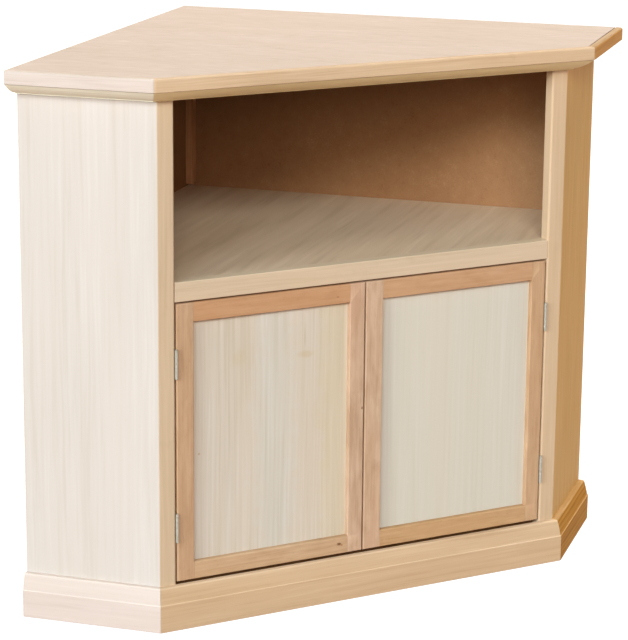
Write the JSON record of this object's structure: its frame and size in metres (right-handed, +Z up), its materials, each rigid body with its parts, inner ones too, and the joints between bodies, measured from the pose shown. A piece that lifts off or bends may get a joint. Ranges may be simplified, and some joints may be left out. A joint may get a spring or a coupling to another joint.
{
  "type": "corner tv cabinet",
  "caption": "Raw wood corner cabinet for a television: moulded top over an open niche, shelf and hinged framed doors, on a moulded skirting.",
  "frame": {"origin": "on the floor, at the middle of the overall box in plan", "axes": "+Z up; +Y towards the back corner where the two room walls meet; -Y out of the doors; +X to the right of someone facing the doors"},
  "size_m": [0.9518, 0.6202, 0.75],
  "materials": {
    "top_veneer": "unfinished sanded pale wood, faint grain",
    "moulding_wood": "unfinished sanded hardwood moulding",
    "side_veneer": "unfinished pale veneer, upright grain",
    "frame_wood": "unfinished sanded wood",
    "shelf_veneer": "unfinished veneered board",
    "batten_wood": "sawn softwood batten",
    "hardboard": "brown hardboard",
    "door_frame_wood": "unfinished sanded wood, pinkish",
    "door_panel_veneer": "unfinished pale veneer, fine upright grain",
    "hinge_steel": "plain zinc-plated steel",
    "catch_plastic": "matt brown plastic"
  },
  "bodies": {
    "carcass": {"top_panel": "top_veneer", "top_lipping_left": "moulding_wood", "top_lipping_front": "moulding_wood", "top_lipping_right": "moulding_wood", "cornice_left": "moulding_wood", "cornice_front": "moulding_wood", "cornice_right": "moulding_wood", "top_front_rail": "frame_wood", "side_panel_left": "side_veneer", "side_panel_right": "side_veneer", "front_stile_left": "frame_wood", "front_stile_right": "frame_wood", "shelf_board": "shelf_veneer", "shelf_front_rail": "frame_wood", "shelf_cleat_left": "batten_wood", "shelf_cleat_right": "batten_wood", "floor_board": "shelf_veneer", "plinth_rail": "batten_wood", "floor_cleat_left": "batten_wood", "floor_cleat_right": "batten_wood", "skirting_left": "moulding_wood", "skirting_front": "moulding_wood", "skirting_right": "moulding_wood", "back_panel_left": "hardboard", "back_panel_right": "hardboard", "corner_batten_upper": "batten_wood", "corner_batten_lower": "batten_wood", "left_lower_hinge_frame_leaf": "hinge_steel", "left_lower_hinge_pin": "hinge_steel", "left_upper_hinge_frame_leaf": "hinge_steel", "left_upper_hinge_pin": "hinge_steel", "right_lower_hinge_frame_leaf": "hinge_steel", "right_lower_hinge_pin": "hinge_steel", "right_upper_hinge_frame_leaf": "hinge_steel", "right_upper_hinge_pin": "hinge_steel", "left_catch_body": "catch_plastic", "right_catch_body": "catch_plastic"},
    "left_door": {"left_door_hinge_stile": "door_frame_wood", "left_door_meeting_stile": "door_frame_wood", "left_door_top_rail": "door_frame_wood", "left_door_bottom_rail": "door_frame_wood", "left_door_panel": "door_panel_veneer", "left_lower_hinge_door_leaf": "hinge_steel", "left_upper_hinge_door_leaf": "hinge_steel", "left_strike_plate": "hinge_steel"},
    "right_door": {"right_door_hinge_stile": "door_frame_wood", "right_door_meeting_stile": "door_frame_wood", "right_door_top_rail": "door_frame_wood", "right_door_bottom_rail": "door_frame_wood", "right_door_panel": "door_panel_veneer", "right_lower_hinge_door_leaf": "hinge_steel", "right_upper_hinge_door_leaf": "hinge_steel", "right_strike_plate": "hinge_steel"}
  },
  "joints": [
    {"name": "left_door_hinge", "type": "hinge", "parent": "carcass", "child": "left_door", "pos_m": [-0.2866, -0.27542, 0.25235], "axis": [0, 0, -1], "range_deg": [0, 175]},
    {"name": "right_door_hinge", "type": "hinge", "parent": "carcass", "child": "right_door", "pos_m": [0.2866, -0.27542, 0.25235], "axis": [0, 0, 1], "range_deg": [0, 175]}
  ]
}
